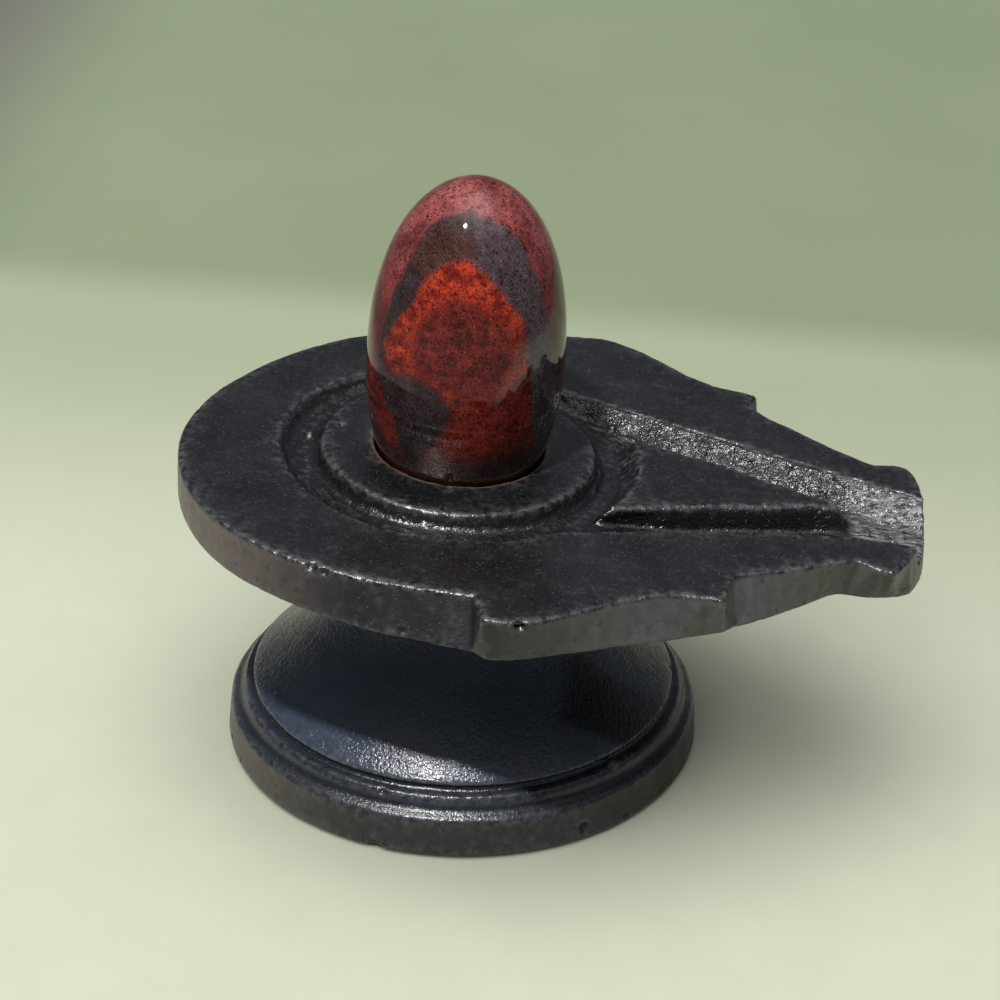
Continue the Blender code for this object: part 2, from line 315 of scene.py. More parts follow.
def round_bell(points, under):
    """Puts the points of the bell's facets on its true curve."""
    radius = np.hypot(points[:, 0], points[:, 1])
    wanted = bell_radii(points[:, 2])
    on_bell = under & (points[:, 2] > LIP_HEIGHT + 0.6) & (points[:, 2] < NECK_HEIGHT - 0.2)
    on_bell &= np.abs(radius - wanted) < 0.6
    points[:, :2] *= np.where(on_bell, wanted / np.maximum(radius, 1.0), 1.0)[:, None]


def round_rim(places):
    """Swells the flat stretches of the plate's round side out to a smooth curve."""
    away = places[:, :2] - np.array(PLATE_CENTRE)
    angle = np.degrees(np.arctan2(away[:, 1], away[:, 0])) % 360.0
    inside = np.radians((angle - RIM_START) % RIM_STEP - 0.5 * RIM_STEP)
    swell = np.cos(inside) / math.cos(math.radians(0.5 * RIM_STEP)) - 1.0
    on_rim = (angle > RIM_START) & (angle < RIM_END) & (places[:, 2] > -PLATE_THICKNESS - 0.05)
    swell *= on_rim * ramp(np.hypot(away[:, 0], away[:, 1]), 46.0, 50.0)
    places[:, :2] += away * swell[:, None]


def close_socket(places):
    """Draws the socket's rim in to a thin gap round the stone."""
    away = places[:, :2] - np.array(SOCKET_CENTRE)
    ring = np.hypot(away[:, 0], away[:, 1])
    share = ramp(ring, SOCKET_RADIUS + 6.6, SOCKET_RADIUS + 0.6) * ramp(places[:, 2], -4.5, -0.5)
    places[:, :2] -= away * (SOCKET_CLOSING * share / np.maximum(ring, 1.0))[:, None]


def round_base(points):
    """Turns the faceted solids of the base into true round forms."""
    under = plate_places(points)[:, 2] < -PLATE_THICKNESS + 0.1
    round_facets(points, (0.0, 0.0), PEDESTAL_SEGMENTS, under)
    round_bell(points, under)
    places = plate_places(points)
    carved = (places[:, 2] > -4.0) & (ring_distance(places, GROOVE_CENTRE) < GROOVE_RADIUS + 0.6)
    round_facets(places, GROOVE_CENTRE, CARVED_SEGMENTS, carved)
    round_rim(places)
    close_socket(places)
    return np.where(under[:, None], points, plate_points(places))


def channel_reach(places):
    """Half the width that both channels take up together, at each place along the spout."""
    return CHANNEL_SPREAD - CHANNEL_TAPER * (places[:, 0] - CHANNEL_START)


def channel_share(places, normals):
    """1 in the channels and the spout's mouth, 0 elsewhere."""
    reach = channel_reach(places)
    across = ramp(np.abs(places[:, 1] - CHANNEL_MIDDLE), reach + 1.2, reach - 0.2)
    along = ramp(places[:, 0], CHANNEL_START, CHANNEL_START + 4.0)
    outside_groove = ramp(ring_distance(places, GROOVE_CENTRE), 31.0, 34.0)
    sunk = band(places[:, 2], -7.0, -6.4, -0.5, -0.1) * ramp(normals[:, 2], 0.1, 0.3)
    return sunk * across * along * outside_groove


def groove_share(places):
    """1 in the ring groove, 0 elsewhere."""
    ring = ring_distance(places, GROOVE_CENTRE)
    inside = band(ring, GROOVE_INNER - 1.0, GROOVE_INNER, GROOVE_RADIUS + 0.3, GROOVE_RADIUS + 1.3)
    return inside * band(places[:, 2], -4.5, -4.0, -0.8, -0.2)


def wall_share(points, places, normals):
    """1 on the plate's side walls and on the foot's ring wall, 0 elsewhere."""
    steep = ramp(np.abs(normals[:, 2]), 0.65, 0.4)
    beside = np.abs(places[:, 1] - CHANNEL_MIDDLE) > channel_reach(places) + 2.5
    outer = (places[:, 0] < CHANNEL_START) | (places[:, 0] > SPOUT_END) | beside
    outer &= ring_distance(places, PLATE_CENTRE) > 49.3
    plate = outer * band(places[:, 2], -9.8, -9.0, -1.2, -0.3)
    ring = np.hypot(points[:, 0], points[:, 1])
    foot = ramp(points[:, 2], FOOT_HEIGHT, FOOT_HEIGHT - 1.0)
    foot *= ramp(ring, FOOT_WALL_RADIUS, FOOT_WALL_RADIUS + 0.6)
    return steep * np.maximum(plate, foot)


def bell_share(points, places):
    """1 on the pedestal above its lip, about a third on the bead below the lip, 0 elsewhere."""
    bead = ramp(points[:, 2], FOOT_HEIGHT - 0.6, FOOT_HEIGHT)
    above = ramp(points[:, 2], LIP_HEIGHT - 0.6, LIP_HEIGHT + 0.2)
    return (0.35 * bead + 0.65 * above) * ramp(places[:, 2], -9.2, -9.8)


def near_wall_share(places):
    """1 on the near channel's walls and floor and on the disc's side wall towards the camera."""
    island_side = places[:, 1] - NEAR_TAPER * (places[:, 0] - ISLAND_TIP)
    along = band(places[:, 0], 24.0, 28.0, ISLAND_TIP - 1.0, ISLAND_TIP + 2.0)
    reach = NEAR_SPREAD - NEAR_TAPER * (places[:, 0] - CHANNEL_START)
    inside = ramp(-places[:, 1], reach + 1.5, reach + 0.5)
    return ramp(island_side, 0.5, -0.5) * along * ramp(places[:, 2], -0.6, -1.4) * inside


def far_wall_share(places, channel):
    """1 on the far channel's sloping far wall and in the spout's mouth, 0 elsewhere."""
    edge = FAR_SPREAD - FAR_TAPER * (places[:, 0] - CHANNEL_START)
    slope = ramp(places[:, 1], edge - 7.5, edge - 5.5)
    mouth = ramp(places[:, 0], 74.0, 79.0) * ramp(places[:, 1], -12.0, -9.5)
    return channel * np.maximum(slope, mouth) * ramp(places[:, 2], -0.1, -0.6)


def mouth_share(places, channel):
    """1 in the spout's mouth, beyond the island's tip, 0 elsewhere."""
    island_side = places[:, 1] - NEAR_TAPER * (places[:, 0] - ISLAND_TIP)
    return channel * ramp(places[:, 0], 72.0, 80.0) * ramp(island_side, -13.0, -11.0)


def socket_rim_share(places):
    """1 on the rim of the socket, 0 elsewhere."""
    ring = ring_distance(places, SOCKET_CENTRE)
    return ramp(ring, SOCKET_RADIUS + 0.5, SOCKET_RADIUS - 0.2) * ramp(places[:, 2], -3.0, -0.5)


def chisel_marks(places):
    """Height in mm of the tool strokes that run along the channels."""
    far = places[:, 1] > 0.11 * (places[:, 0] - 73.0) + 0.3
    slope = np.where(far, -FAR_TAPER, NEAR_FLOW)
    stretch = np.sqrt(1.0 + slope ** 2)
    along = (places[:, 0] + slope * places[:, 1]) / stretch
    aside = (places[:, 1] - slope * places[:, 0]) / stretch - 0.6 * places[:, 2]
    sway = stroke_noise(along, aside, 6.0, 6.0, 11)
    strokes = stroke_noise(along, aside + sway, 3.2, 0.85, 12)
    chips = stroke_noise(along, aside, 1.1, 0.7, 13)
    slanted = stroke_noise(along, aside - 0.35 * along, 4.0, 1.5, 14)
    return 0.26 * strokes + 0.15 * chips + 0.2 * slanted


def groove_marks(places):
    """Height in mm of the marks that run round the ring groove."""
    away = places[:, :2] - np.array(GROOVE_CENTRE)
    ring = np.hypot(away[:, 0], away[:, 1])
    arc = np.arctan2(away[:, 1], away[:, 0]) * 30.0
    strokes = lattice_noise(np.stack([arc / 3.5, ring / 0.9, places[:, 2] / 0.9], 1), 21)
    lumps = lattice_noise(places / 1.3, 22)
    chips = lattice_noise(places / 0.8, 23)
    return 0.10 * strokes + 0.09 * lumps + 0.07 * chips


def worked_relief(points, places, normals, convex):
    """How far each point of the base stands out or in, in mm: uneven faces, tool marks and nicked edges."""
    walls = wall_share(points, places, normals)
    pores = ramp(lattice_noise(points, 4), 0.62, 0.85)
    move = 0.09 * lattice_noise(points / 9.0, 1) + 0.035 * lattice_noise(points / 2.6, 2)
    move += walls * (0.03 * lattice_noise(points / 1.6, 3) - 0.14 * pores)
    deeper = 0.4 + 0.6 * ramp(places[:, 1], -8.0, 2.0)
    move += channel_share(places, normals) * chisel_marks(places) * deeper
    move += groove_share(places) * groove_marks(places)
    nicks = ramp(lattice_noise(points / 1.5, 5) + 0.6 * lattice_noise(points / 0.7, 6), 0.2, 0.95)
    on_plate = ramp(places[:, 2], -PLATE_THICKNESS - 0.5, -PLATE_THICKNESS + 0.5)
    move -= convex * nicks * (0.04 + 0.07 * on_plate)
    return move * ramp(points[:, 2], 0.2, 0.8)


def small_marks(points):
    """How far the drops stand out and the pits go in at each point, in mm."""
    move = np.zeros(len(points))
    for centre, radius, height in DROPS:
        away = np.linalg.norm(points - np.array(centre), axis=1) / radius
        move += height * np.clip(1.0 - away ** 2, 0.0, 1.0) ** 0.75
    for centre, radius, depth in PITS:
        away = np.linalg.norm(points - np.array(centre), axis=1) / radius
        move -= depth * ramp(away, 1.0, 0.3)
    return move


def carve_base(mesh):
    """Gives the base its round forms and its hand-worked surface."""
    points = round_base(read_points(mesh))
    around = Neighbours(mesh)
    points = around.average(points, 1)
    write_points(mesh, points)
    normals = read_normals(mesh)
    convex = np.clip(((points - around.average(points, 8)) * normals).sum(1) / 0.12, 0.0, 1.0)
    move = worked_relief(points, plate_places(points), normals, convex) + small_marks(points)
    write_points(mesh, points + normals * move[:, None])


def describe_base(mesh):
    """Stores what the base's material needs to know of each point."""
    points = read_points(mesh)
    normals = read_normals(mesh)
    places = plate_places(points)
    channel = channel_share(places, normals)
    around = Neighbours(mesh)
    curve = ((points - around.average(points, 3)) * normals).sum(1) / 0.06
    # How strong the left walls' brown dust and painted light are: weaker on the foot than on the plate.
    dust_and_light_by_height = 0.55 + 0.45 * ramp(points[:, 2], 20.0, 30.0)
    store(mesh, "worn", around.average(np.clip(curve, 0.0, 1.0), 1))
    store(mesh, "hollow", around.average(np.clip(-curve, 0.0, 1.0), 2))
    store(mesh, "channel", channel)
    store(mesh, "groove", groove_share(places))
    store(mesh, "wall", wall_share(points, places, normals))
    store(mesh, "bell", bell_share(points, places))
    store(mesh, "far_wall", far_wall_share(places, channel))
    store(mesh, "near_wall", near_wall_share(places))
    store(mesh, "mouth", mouth_share(places, channel))
    store(mesh, "rim", socket_rim_share(places))
    store(mesh, "leftward", ramp(points[:, 0], -10.0, -44.0) * dust_and_light_by_height)
    store(mesh, "rightward", ramp(points[:, 0], 10.0, 40.0) * ramp(points[:, 2], 20.0, 30.0))


def carved_base():
    """The whole black stone base in fine detail."""
    made = add_object("yoni_base_carved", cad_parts["yoni_base"].data.copy())
    made.data.materials.clear()
    weld = made.modifiers.new("weld", "WELD")
    weld.merge_threshold = 0.002 * MM
    remesh = made.modifiers.new("voxels", "REMESH")
    remesh.mode = "VOXEL"
    remesh.voxel_size = BASE_VOXEL * MM
    apply_modifiers(made)
    carve_base(made.data)
    thin = made.modifiers.new("thin", "DECIMATE")
    triangles = sum(len(face.vertices) - 2 for face in made.data.polygons)
    thin.ratio = min(1.0, BASE_TRIANGLES / triangles)
    apply_modifiers(made)
    made.data.shade_smooth()
    describe_base(made.data)
    return made


def stone_radius(level):
    """The stone's radius at a height above or below its widest level."""
    if level > 0.0:
        share, power = level / STONE_ABOVE, STONE_BLUNT_TOP
    else:
        share, power = -level / STONE_BELOW, STONE_BLUNT_FOOT
    return STONE_RADIUS * math.sqrt(max(0.0, 1.0 - share ** power))


def stone_levels():
    """Heights of the stone's rings, closer together towards its two ends."""
    half = STONE_ROWS // 2
    turns = [0.5 * math.pi * row / half for row in range(half)]
    return [-STONE_FLAT * math.cos(turn) for turn in turns] + [STONE_ABOVE * math.sin(turn) for turn in turns]


def stone_point(level, radius, angle):
    """A point of the leaning stone, in metres."""
    return Vector((STONE_CENTRE[0] + STONE_LEAN[0] * level + radius * math.cos(angle),
                   STONE_CENTRE[1] + STONE_LEAN[1] * level + radius * math.sin(angle),
                   STONE_CENTRE[2] + level)) * MM


def egg_mesh():
    """The stone as rings of quads, its flat foot and its crown closed."""
    mesh = bpy.data.meshes.new("lingam_stone_polished")
    bm = bmesh.new()
    angles = [2.0 * math.pi * i / STONE_SEGMENTS for i in range(STONE_SEGMENTS)]
    rings = [[bm.verts.new(stone_point(level, stone_radius(level), angle)) for angle in angles]
             for level in stone_levels()]
    for low, high in zip(rings, rings[1:]):
        for i in range(STONE_SEGMENTS):
            j = (i + 1) % STONE_SEGMENTS
            bm.faces.new((low[i], low[j], high[j], high[i]))
    top = bm.verts.new(stone_point(STONE_ABOVE, 0.0, 0.0))
    for i in range(STONE_SEGMENTS):
        bm.faces.new((rings[-1][i], rings[-1][(i + 1) % STONE_SEGMENTS], top))
    bm.faces.new(list(reversed(rings[0])))
    bm.to_mesh(mesh)
    bm.free()
    mesh.shade_smooth()
    return mesh


def zone_share(across, level, outline, soft):
    """How far inside an outline each point is: 0 outside, 0.5 on it and 1 inside, over a soft width in mm."""
    spread = STONE_RADIUS * math.radians(1.0)
    corners = [(angle * spread, height) for angle, height in outline]
    nearest = np.full(len(across), 1e9)
    inside = np.zeros(len(across), bool)
    for (ax, ay), (bx, by) in zip(corners, corners[1:] + corners[:1]):
        run_x, run_y = bx - ax, by - ay
        share = ((across - ax) * run_x + (level - ay) * run_y) / (run_x ** 2 + run_y ** 2)
        share = np.clip(share, 0.0, 1.0)
        nearest = np.minimum(nearest, np.hypot(across - ax - share * run_x, level - ay - share * run_y))
        crosses = (ay > level) != (by > level)
        inside ^= crosses & (across < ax + run_x * (level - ay) / (run_y if run_y else 1e-9))
    return ramp(np.where(inside, nearest, -nearest), -soft, soft)


def describe_stone(mesh):
    """Stores the stone's coloured zones for its material."""
    points = read_points(mesh)
    height = points[:, 2] - STONE_CENTRE[2]
    x = points[:, 0] - STONE_CENTRE[0] - STONE_LEAN[0] * height
    y = points[:, 1] - STONE_CENTRE[1] - STONE_LEAN[1] * height
    angle = (np.degrees(np.arctan2(x, -y)) - STONE_FACE + 180.0) % 360.0 - 180.0
    across = np.radians(angle) * STONE_RADIUS
    across += 0.5 * lattice_noise(points / 3.0, 31) + 0.3 * lattice_noise(points / 1.2, 32)
    level = height + 0.5 * lattice_noise(points / 3.0, 33) + 0.3 * lattice_noise(points / 1.2, 34)
    store(mesh, "grey", zone_share(across, level, GREY_BAND, 2.2))
    store(mesh, "ember", zone_share(across, level, EMBER_ARCH, 2.0))
    store(mesh, "core", zone_share(across, level, DARK_CORE, 4.5))
    store(mesh, "brown", zone_share(across, level, BROWN_APEX, 2.6))
    store(mesh, "right", ramp(angle, -6.0, 6.0))
    store(mesh, "rise", height / 40.0)


def polished_stone():
    """The egg-shaped stone with a slightly uneven polish."""
    mesh = egg_mesh()
    points = read_points(mesh)
    normals = read_normals(mesh)
    wave = 0.05 * lattice_noise(points / 11.0, 41) + 0.012 * lattice_noise(points / 4.0, 42)
    bottom = STONE_CENTRE[2] - STONE_FLAT
    wave *= ramp(points[:, 2], bottom + 1.0, bottom + 6.0)
    write_points(mesh, points + normals * wave[:, None])
    describe_stone(mesh)
    return add_object("lingam_stone_polished", mesh)


class Graph:
    """Short ways to add and join nodes in one material."""

    def __init__(self, name):
        self.material = bpy.data.materials.new(name)
        self.material.use_nodes = True
        self.tree = self.material.node_tree
        self.shader = self.tree.nodes["Principled BSDF"]
        self.point = self.node("ShaderNodeTexCoord").outputs["Object"]

    def node(self, kind, **settings):
        """A new node with its settings."""
        made = self.tree.nodes.new(kind)
        for key, value in settings.items():
            setattr(made, key, value)
        return made

    def join(self, value, socket):
        """Links an output to a socket, or sets the socket to a plain value."""
        if isinstance(value, bpy.types.NodeSocket):
            self.tree.links.new(value, socket)
        else:
            socket.default_value = value

    def attribute(self, name):
        """A number that the mesh keeps for each point."""
        return self.node("ShaderNodeAttribute", attribute_name=name).outputs["Fac"]

    def math(self, operation, first, second=0.0):
        """One sum."""
        made = self.node("ShaderNodeMath", operation=operation)
        self.join(first, made.inputs[0])
        self.join(second, made.inputs[1])
        return made.outputs[0]

    def remap(self, value, low, high, to_low=0.0, to_high=1.0):
        """Maps a range to another, smoothly and within bounds."""
        made = self.node("ShaderNodeMapRange", interpolation_type="SMOOTHSTEP")
        self.join(value, made.inputs["Value"])
        for key, number in (("From Min", low), ("From Max", high), ("To Min", to_low), ("To Max", to_high)):
            made.inputs[key].default_value = number
        return made.outputs["Result"]

    def stretched(self, scale):
        """The point with each axis scaled, for grain that runs one way."""
        made = self.node("ShaderNodeMapping")
        self.join(self.point, made.inputs["Vector"])
        made.inputs["Scale"].default_value = scale
        return made.outputs["Vector"]

    def noise(self, scale, detail=2.0, point=None, roughness=0.5, distortion=0.0):
        """Cloud noise of so many features per metre."""
        made = self.node("ShaderNodeTexNoise")
        self.join(point or self.point, made.inputs["Vector"])
        made.inputs["Scale"].default_value = scale
        made.inputs["Detail"].default_value = detail
        made.inputs["Roughness"].default_value = roughness
        made.inputs["Distortion"].default_value = distortion
        return made.outputs["Fac"]

    def cells(self, scale):
        """Cells of so many per metre, each with a random colour and the distance to its centre."""
        made = self.node("ShaderNodeTexVoronoi")
        self.join(self.point, made.inputs["Vector"])
        made.inputs["Scale"].default_value = scale
        return made.outputs

    def split(self, kind, value):
        """The three parts of a point or of a colour."""
        made = self.node(kind)
        self.join(value, made.inputs[0])
        return made.outputs

    def mix(self, share, first, second, blend="MIX"):
        """Goes from one colour to another as the share rises."""
        made = self.node("ShaderNodeMix", data_type="RGBA", blend_type=blend)
        self.join(share, made.inputs[0])
        for value, socket in ((first, made.inputs[6]), (second, made.inputs[7])):
            self.join(value if isinstance(value, bpy.types.NodeSocket) else (*value, 1.0), socket)
        return made.outputs[2]

    def cover(self, colour, share, strength, over):
        """Lays a colour over another where the share is high, at most as far as the strength."""
        return self.mix(self.math("MULTIPLY", share, strength), colour, over)

    def bump(self, height, strength, distance, normal=None):
        """A relief too fine for the mesh, with its distance in mm."""
        made = self.node("ShaderNodeBump")
        self.join(height, made.inputs["Height"])
        made.inputs["Strength"].default_value = strength
        made.inputs["Distance"].default_value = distance * MM
        if normal is not None:
            self.join(normal, made.inputs["Normal"])
        return made.outputs["Normal"]


def face_colour(g):
    """Slate faces, clouded and speckled, with the bluish bell, whose paler blue is partly its own tone and
    partly a painted reflection of the room.
    """
    clouds = g.noise(70.0, 4.0)
    colour = g.mix(g.remap(clouds, 0.35, 0.7), (0.0024, 0.003, 0.0036), (0.006, 0.007, 0.0078))
    speckle = g.noise(1100.0, 3.0, roughness=0.7)
    colour = g.mix(g.remap(speckle, 0.5, 0.72, 0.0, 0.35), colour, (0.03, 0.032, 0.034))
    # Painted reflection: the bell's paler blue is partly its dark stone and partly the bluish room that its
    # shaded faces reflect.
    bell_blue_and_reflection = g.mix(clouds, (0.010, 0.014, 0.026), (0.040, 0.054, 0.086))
    return g.mix(g.attribute("bell"), colour, bell_blue_and_reflection)


def dust_and_light_walls(g, colour):
    """Lays grey dust on the side walls, paler to the right and brown to the left. The pale and the brown are
    partly dust and partly painted light: a painted reflection of the floor on the right, painted light from
    the left on the left.
    """
    wall = g.attribute("wall")
    wall_mottle = g.noise(420.0, 4.0, roughness=0.75)
    dusty = g.mix(wall_mottle, (0.003, 0.003, 0.0045), (0.026, 0.024, 0.027))
    colour = g.cover(colour, wall, 0.85, dusty)
    # Painted reflection: pale dust on the walls to the right, lightened to stand for the pale floor that they
    # reflect.
    pale = g.mix(wall_mottle, (0.03, 0.028, 0.03), (0.14, 0.13, 0.13))
    right = g.math("MULTIPLY", g.remap(g.attribute("rightward"), 0.0, 1.0), 0.8)
    colour = g.cover(colour, wall, right, pale)
    # Painted light: brown dust on the walls to the left, lightened to stand for light falling from the left.
    brown = g.mix(wall_mottle, (0.065, 0.05, 0.045), (0.23, 0.18, 0.16))
    left = g.math("MULTIPLY", g.attribute("leftward"), 0.7)
    return g.cover(colour, wall, left, brown)


def colour_carving(g, colour):
    """Rubs the worn edges pale, colours the channels and the socket's rim, paints glare into the spout's
    mouth and paints shade into the hollows and the near channel.
    """
    rubbed = g.math("MULTIPLY", g.attribute("worn"), g.remap(g.noise(700.0, 3.0), 0.35, 0.65))
    colour = g.cover(colour, rubbed, 0.6, (0.10, 0.105, 0.11))
    slope = g.mix(g.noise(620.0, 4.0, roughness=0.75), (0.002, 0.002, 0.0025), (0.02, 0.02, 0.021))
    colour = g.cover(colour, g.attribute("far_wall"), 0.8, slope)
    # Painted glare: the spout's mouth is painted pale grey along its strokes to stand for the light that it
    # catches.
    strokes = g.noise(420.0, 3.0, point=g.stretched((1.0, 3.5, 2.0)), roughness=0.7, distortion=0.8)
    mouth_glare = g.mix(g.remap(strokes, 0.38, 0.66), (0.012, 0.012, 0.013), (0.27, 0.265, 0.28))
    colour = g.cover(colour, g.attribute("mouth"), 0.8, mouth_glare)
    # Painted shade: darker in the hollows.
    colour = g.cover(colour, g.attribute("hollow"), 0.75, (0.0025, 0.0025, 0.003))
    # Painted shade: the near channel and the disc's wall towards the camera are painted near black, as they
    # lie in shade.
    colour = g.cover(colour, g.attribute("near_wall"), 0.9, (0.0012, 0.0012, 0.0016))
    return g.cover(colour, g.attribute("rim"), 0.8, (0.11, 0.06, 0.04))


def smudge_and_glint(g, colour):
    """Adds faint smudges, and fine bright flecks that are partly pale specks in the stone and partly painted
    glints.
    """
    smudge = g.remap(g.noise(34.0, 5.0, roughness=0.62, distortion=0.8), 0.6, 0.8)
    colour = g.cover(colour, smudge, 0.22, (0.05, 0.052, 0.052))
    # Painted glints: sparse pale specks, partly the stone's own flecks and partly standing in for glints of
    # light.
    cells = g.cells(2300.0)
    chosen = g.math("GREATER_THAN", g.split("ShaderNodeSeparateColor", cells["Color"])[0], 0.955)
    glint_flecks = g.math("MULTIPLY", chosen, g.remap(cells["Distance"], 0.45, 0.15))
    return g.cover(colour, glint_flecks, 0.3, (0.2, 0.21, 0.22))


def black_stone():
    """Oiled black stone: slate faces, dusty walls with painted light on their two sides, worn edges,
    wet-looking grain, fine bright flecks that are partly painted glints, painted glare in the spout's mouth,
    painted shade in the hollows and the near channel, and a bell that is partly a painted reflection.
    """
    g = Graph("black_carved_stone")
    colour = smudge_and_glint(g, colour_carving(g, dust_and_light_walls(g, face_colour(g))))
    g.join(colour, g.shader.inputs["Base Color"])
    carved = g.math("MAXIMUM", g.attribute("channel"), g.attribute("groove"))
    wet = g.math("MAXIMUM", carved, g.math("MAXIMUM", g.attribute("bell"), g.attribute("worn")))
    rough = g.remap(g.noise(160.0, 4.0), 0.3, 0.7, 0.26, 0.34)
    rough = g.math("ADD", rough, g.math("MULTIPLY", g.attribute("wall"), 0.12))
    rough = g.math("SUBTRACT", rough, g.math("MULTIPLY", wet, 0.08))
    g.join(rough, g.shader.inputs["Roughness"])
    scratches = g.noise(260.0, 3.0, point=g.stretched((1.0, 6.0, 2.0)), roughness=0.7, distortion=1.5)
    relief = g.bump(scratches, 0.4, 0.12)
    wrinkled = g.math("MAXIMUM", g.attribute("far_wall"), g.math("MULTIPLY", wet, 0.3))
    wrinkles = g.noise(750.0, 2.0, roughness=0.55, distortion=1.2)
    relief = g.bump(g.math("MULTIPLY", wrinkles, wrinkled), 1.0, 0.5, relief)
    grain = g.math("MULTIPLY", g.noise(1700.0, 2.0, roughness=0.6), g.remap(wet, 0.0, 1.0, 0.7, 1.0))
    relief = g.bump(grain, 1.0, 0.13, relief)
    g.join(relief, g.shader.inputs["Normal"])
    g.shader.inputs["IOR"].default_value = 1.5
    return g.material


def jasper_zones(g, grain, patches):
    """Colours of the stone's body, cap, glowing arch, dark core, grey bands and brown apex; the cap is partly
    a painted sheen from above, and the stone is painted dark low down as shade where it meets the base.
    """
    tone = g.noise(130.0, 4.0, roughness=0.65)
    rise = g.attribute("rise")

    def ragged(name, spread):
        """A zone whose border breaks up into grains."""
        shaky = g.math("ADD", g.attribute(name), g.math("MULTIPLY", g.math("SUBTRACT", grain, 0.5), spread))
        shaky = g.math("ADD", shaky, g.math("MULTIPLY", g.math("SUBTRACT", patches, 0.5), spread))
        return g.remap(shaky, 0.25, 0.75)

    body = g.mix(g.remap(tone, 0.3, 0.7), (0.055, 0.005, 0.004), (0.13, 0.012, 0.007))
    # Painted sheen: towards the top the cap is pinker and paler, partly its own tone and partly a painted
    # sheen of the bright ceiling.
    cap = g.mix(g.remap(tone, 0.35, 0.65), (0.095, 0.013, 0.011), (0.18, 0.036, 0.033))
    colour = g.mix(g.remap(rise, 0.35, 0.85), body, cap)
    ember = g.mix(g.remap(patches, 0.35, 0.7), (0.12, 0.007, 0.003), (0.30, 0.024, 0.006))
    core = g.mix(g.remap(patches, 0.3, 0.7), (0.045, 0.006, 0.004), (0.12, 0.010, 0.006))
    arch = g.mix(ragged("core", 1.2), ember, core)
    arch = g.cover(arch, g.remap(rise, 0.35, 0.05), 0.6, (0.10, 0.009, 0.006))
    colour = g.mix(ragged("ember", 0.9), colour, arch)
    left_grey = g.mix(tone, (0.010, 0.006, 0.006), (0.03, 0.016, 0.016))
    right_grey = g.mix(tone, (0.026, 0.014, 0.016), (0.066, 0.038, 0.042))
    grey = g.mix(g.attribute("right"), left_grey, right_grey)
    colour = g.mix(ragged("grey", 1.1), colour, grey)
    colour = g.cover(colour, ragged("brown", 1.4), 0.8, (0.045, 0.014, 0.010))
    # Painted shade and reflection: the stone is painted dark low down, where it sits in the socket and
    # mirrors the black base.
    return g.cover(colour, g.remap(rise, -0.2, -0.36), 0.85, (0.016, 0.010, 0.009))


def red_jasper():
    """Mirror-polished jasper: the coloured zones, bright streaks, dark dots and pale flecks."""
    g = Graph("red_jasper_polished")
    grain = g.noise(1250.0, 2.0, roughness=0.6, distortion=1.5)
    patches = g.noise(420.0, 3.0, roughness=0.6)
    colour = jasper_zones(g, grain, patches)
    middle = g.math("ABSOLUTE", g.math("SUBTRACT", g.noise(1500.0, 2.0, distortion=2.2), 0.5))
    streaks = g.math("MULTIPLY", g.remap(middle, 0.07, 0.0), g.remap(patches, 0.35, 0.6))
    bright = g.mix(1.0, colour, (2.6, 4.2, 4.5), "MULTIPLY")
    colour = g.cover(colour, streaks, 0.75, bright)
    colour = g.cover(colour, g.remap(grain, 0.49, 0.38), 0.85, (0.006, 0.003, 0.003))
    colour = g.cover(colour, g.remap(g.noise(2600.0, 1.0), 0.7, 0.78), 0.4, (0.5, 0.25, 0.2))
    g.join(colour, g.shader.inputs["Base Color"])
    g.join(g.remap(g.noise(400.0), 0.3, 0.7, 0.03, 0.06), g.shader.inputs["Roughness"])
    g.shader.inputs["IOR"].default_value = 1.54
    return g.material


def floor_material():
    """Matt sage: pale near the part, deeper well behind it, where the sage is darkened partly as a painted
    fall-off of light, and dim beyond the front and the sides.
    """
    g = Graph("pale_floor")
    side, back, _ = g.split("ShaderNodeSeparateXYZ", g.point)
    pale = g.mix(g.noise(60.0, 5.0), (0.60, 0.63, 0.485), (0.66, 0.69, 0.535))
    middle = g.mix(g.noise(30.0, 4.0), (0.39, 0.44, 0.30), (0.42, 0.47, 0.32))
    sage = g.mix(g.noise(9.0, 3.0), (0.24, 0.29, 0.17), (0.33, 0.385, 0.24))
    # Painted shade: the floor darkens behind the part, partly its sage colour and partly a painted fall-off
    # of light.
    colour = g.mix(g.remap(back, 0.02, 0.17), pale, middle)
    colour = g.mix(g.remap(back, 0.18, 0.21), colour, sage)
    beyond = g.math("MAXIMUM", g.remap(back, -0.10, -0.16), g.remap(side, -0.15, -0.24))
    beyond = g.math("MAXIMUM", beyond, g.remap(side, 0.25, 0.36))
    colour = g.mix(beyond, colour, (0.16, 0.16, 0.155))
    g.join(colour, g.shader.inputs["Base Color"])
    g.shader.inputs["Roughness"].default_value = 0.9
    return g.material


def pale_floor():
    """A plain round floor."""
    mesh = bpy.data.meshes.new("floor")
    bm = bmesh.new()
    bmesh.ops.create_circle(bm, cap_ends=True, segments=96, radius=FLOOR_RADIUS)
    bm.to_mesh(mesh)
    bm.free()
    floor = add_object("floor", mesh)
    floor.data.materials.append(floor_material())
    return floor


def light(name, direction, distance, size, power, colour):
    """A round lamp that looks at the part from a direction."""
    data = bpy.data.lights.new(name, "AREA")
    data.shape = "DISK"
    data.size = size
    data.energy = power
    data.color = colour
    made = add_object(name, data)
    aim = Vector(LAMP_AIM)
    made.location = aim + Vector(direction).normalized() * distance
    made.rotation_euler = (aim - made.location).to_track_quat("-Z", "Y").to_euler()
    return made


def shine_on(lamp, items):
    """Lets a light fall on some objects only, as a flag in a studio does."""
    group = bpy.data.collections.new(lamp.name + "_reach")
    for item in items:
        group.objects.link(item)
    lamp.light_linking.receiver_collection = group


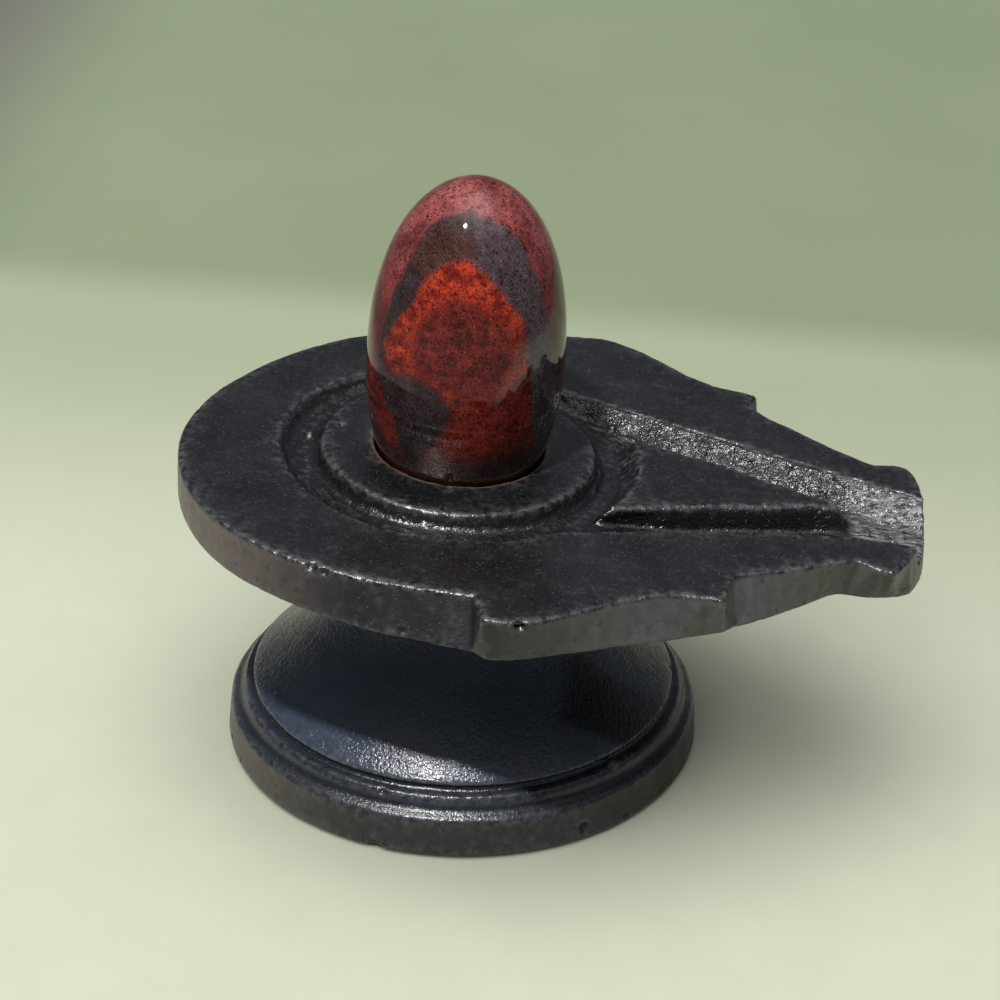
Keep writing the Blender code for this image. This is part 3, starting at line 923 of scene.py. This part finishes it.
def surround():
    """A dim room that brightens softly towards the ceiling."""
    world = bpy.data.worlds.new("surround")
    world.use_nodes = True
    tree = world.node_tree
    back = tree.nodes["Background"]
    way = tree.nodes.new("ShaderNodeTexCoord")
    split = tree.nodes.new("ShaderNodeSeparateXYZ")
    shades = tree.nodes.new("ShaderNodeValToRGB")
    tree.links.new(way.outputs["Generated"], split.inputs[0])
    tree.links.new(split.outputs["Z"], shades.inputs[0])
    tree.links.new(shades.outputs[0], back.inputs["Color"])
    steps = shades.color_ramp
    steps.interpolation = "EASE"
    while len(steps.elements) < len(ROOM_SHADES):
        steps.elements.new(1.0)
    for element, (height, colour) in zip(steps.elements, ROOM_SHADES):
        element.position = height
        element.color = (*colour, 1.0)
    back.inputs["Strength"].default_value = ROOM_STRENGTH
    bpy.context.scene.world = world
    bpy.context.scene.view_settings.view_transform = "Standard"


def studio(floor, part):
    """Plain soft studio light: a small key on the part, a soft panel for the floor and the room."""
    surround()
    key = light("key", KEY_DIRECTION, KEY_DISTANCE, KEY_SIZE, KEY_POWER, KEY_COLOUR)
    shine_on(key, part)
    panel = light("floor_panel", PANEL_DIRECTION, PANEL_DISTANCE, PANEL_SIZE, PANEL_POWER, PANEL_COLOUR)
    shine_on(panel, [floor])


def camera():
    """The camera where the photograph was taken from."""
    data = bpy.data.cameras.new("camera")
    data.lens = CAMERA_LENS
    data.sensor_width = SENSOR_WIDTH
    data.clip_start = 0.01
    made = add_object("camera", data)
    made.matrix_world = (Matrix.Translation(CAMERA_PLACE) @ Matrix.Rotation(CAMERA_TURN, 4, "Z")
                         @ Matrix.Rotation(math.pi / 2 - CAMERA_PITCH, 4, "X")
                         @ Matrix.Rotation(CAMERA_ROLL, 4, "Z"))
    bpy.context.scene.camera = made


def finish_piece(piece, node, material):
    """Gives a piece its material and its body, and hides the solid that it stands for."""
    piece.data.materials.clear()
    piece.data.materials.append(material)
    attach(piece, "root")
    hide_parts(node)


camera()
base = carved_base()
stone = polished_stone()
finish_piece(base, "yoni_base", black_stone())
finish_piece(stone, "lingam_stone", red_jasper())
studio(pale_floor(), [base, stone])
